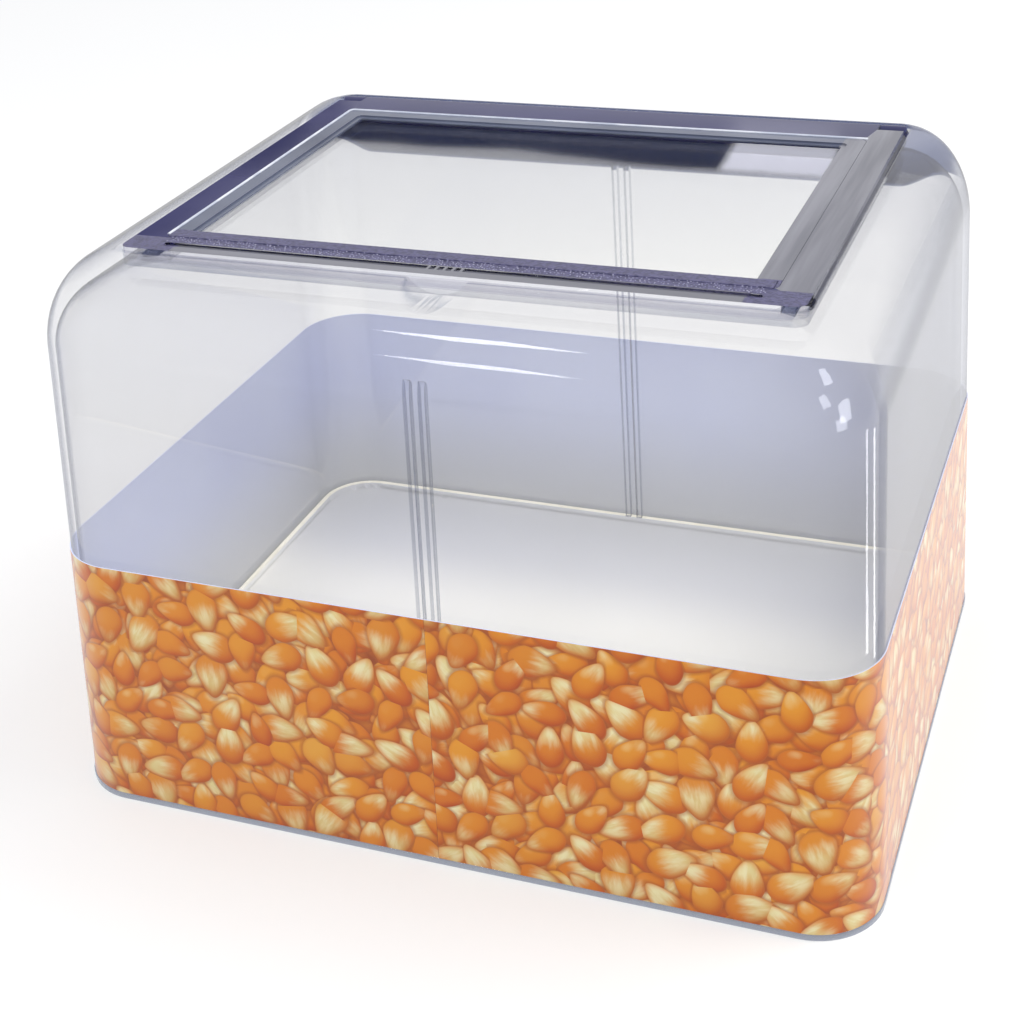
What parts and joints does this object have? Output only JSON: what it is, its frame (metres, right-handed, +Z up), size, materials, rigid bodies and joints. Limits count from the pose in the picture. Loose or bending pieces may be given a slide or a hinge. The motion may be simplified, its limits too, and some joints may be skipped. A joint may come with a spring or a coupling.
{
  "type": "rice bin with flip lid",
  "caption": "Clear counter-top bin for rice or kernels: drafted shell with rounded shoulders, printed wrap, inserted floor and a framed clear lid that flips up on a rear hinge.",
  "frame": {"origin": "bottom centre of the foot bead, on the table", "axes": "+X to the right seen from the front, +Y from the front with the thumb recess to the hinge side, +Z up"},
  "size_m": [0.32, 0.256, 0.2173],
  "materials": {
    "clear_shell": "clear, polished",
    "clear_pane": "clear, polished",
    "floor_plastic": "milky, satin",
    "printed_wrap": "printed outside, pale reverse",
    "lid_plastic": "violet tinted, glossy",
    "bezel_plastic": "grey blue, glossy",
    "seal_rubber": "satin",
    "grip_plastic": "fine grain",
    "pin_steel": "drawn wire"
  },
  "bodies": {
    "body": {"shell": "clear_shell", "floor_pan": "floor_plastic", "wrap_left": "printed_wrap", "wrap_right": "printed_wrap", "hinge_block_left": "lid_plastic", "hinge_block_right": "lid_plastic"},
    "lid": {"lid_frame": "lid_plastic", "lid_pane": "clear_pane", "lid_bezel": "bezel_plastic", "lid_gasket": "seal_rubber", "grip_strip": "grip_plastic", "hinge_pin_left": "pin_steel", "hinge_pin_right": "pin_steel"}
  },
  "joints": [
    {"name": "lid_hinge", "type": "hinge", "parent": "body", "child": "lid", "pos_m": [0, 0.10076, 0.2138], "axis": [-1, 0, 0], "range_deg": [0, 100]}
  ]
}
